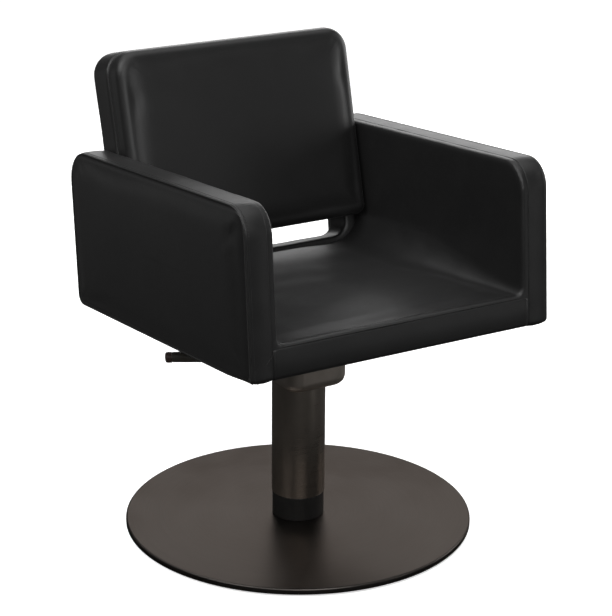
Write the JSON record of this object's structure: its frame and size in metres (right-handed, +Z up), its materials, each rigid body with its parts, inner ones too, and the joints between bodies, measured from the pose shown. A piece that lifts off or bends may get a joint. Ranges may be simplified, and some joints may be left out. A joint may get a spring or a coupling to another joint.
{
  "type": "salon styling chair",
  "caption": "Upholstered tub styling chair with box arms and open-slot back on a swivelling, height-adjustable pump column and round floor plate.",
  "frame": {"origin": "on the floor, under the column's axis, which is also the middle of the part's footprint to within 6 mm", "axes": "+Z up along the column; -Y is the way the chair faces; +X to the right seen from the front"},
  "size_m": [0.6, 0.6312, 0.8121],
  "materials": {
    "bronze_metal": "satin dark bronze",
    "black_steel": "black satin paint",
    "bright_steel": "ground steel",
    "leather": "smooth black leatherette",
    "dust_cloth": "black non-woven cloth",
    "plywood": "raw plywood",
    "nylon": "black moulded nylon",
    "grip": "satin brown-black moulded grip"
  },
  "bodies": {
    "base": {"base_disc": "bronze_metal", "glide_1": "nylon", "glide_2": "nylon", "glide_3": "nylon", "glide_4": "nylon", "glide_5": "nylon", "glide_6": "nylon", "base_collar": "black_steel", "base_screw_1": "bright_steel", "base_screw_2": "bright_steel", "base_screw_3": "bright_steel", "base_screw_4": "bright_steel", "inner_tube": "black_steel", "thrust_washer": "bright_steel"},
    "rod": {"piston_rod": "bright_steel", "piston": "nylon"},
    "seat": {"column_sleeve": "bronze_metal", "sleeve_bush": "nylon", "pump_barrel": "bright_steel", "barrel_gland": "nylon", "pump_head": "bronze_metal", "lever_pin": "bright_steel", "plunger_spring": "bright_steel", "tilt_wedge": "black_steel", "mount_plate": "black_steel", "mount_bolt_1": "bright_steel", "mount_bolt_2": "bright_steel", "mount_bolt_3": "bright_steel", "mount_bolt_4": "bright_steel", "seat_board": "plywood", "dust_cover": "dust_cloth", "seat_cushion": "leather", "front_band": "leather", "back_bracket_left": "black_steel", "back_bracket_right": "black_steel", "bracket_bolt_left": "bright_steel", "bracket_bolt_right": "bright_steel", "arm_pad_left": "leather", "arm_pad_right": "leather", "arm_board_left": "plywood", "arm_board_right": "plywood", "side_panel_left": "leather", "side_panel_right": "leather", "back_shell": "leather", "back_board": "plywood", "back_cushion": "leather"},
    "lever": {"lever_arm": "bronze_metal", "lever_grip": "grip", "lever_end_cap": "grip"},
    "plunger": {"pump_plunger": "bright_steel"}
  },
  "joints": [
    {"name": "swivel", "type": "hinge", "parent": "base", "child": "rod", "pos_m": [0, 0, 0.03], "axis": [0, 0, 1], "continuous": true},
    {"name": "height", "type": "slide", "parent": "rod", "child": "seat", "axis": [0, 0, 1], "range_m": [0, 0.13]},
    {"name": "lever_stroke", "type": "hinge", "parent": "seat", "child": "lever", "pos_m": [-0.05292, 0.0323, 0.306], "axis": [-0.521, -0.8536, 0], "range_deg": [0, 20], "stiffness_Nm_per_rad": 1.5, "springref_deg": -34.38},
    {"name": "plunger_slide", "type": "slide", "parent": "seat", "child": "plunger", "axis": [0, 0, 1], "range_m": [0, 0.0067], "deforming": ["plunger_spring"]}
  ],
  "couplings": [
    {"joint": "plunger_slide", "follows": "lever_stroke", "m_per_rad": 0.019}
  ]
}
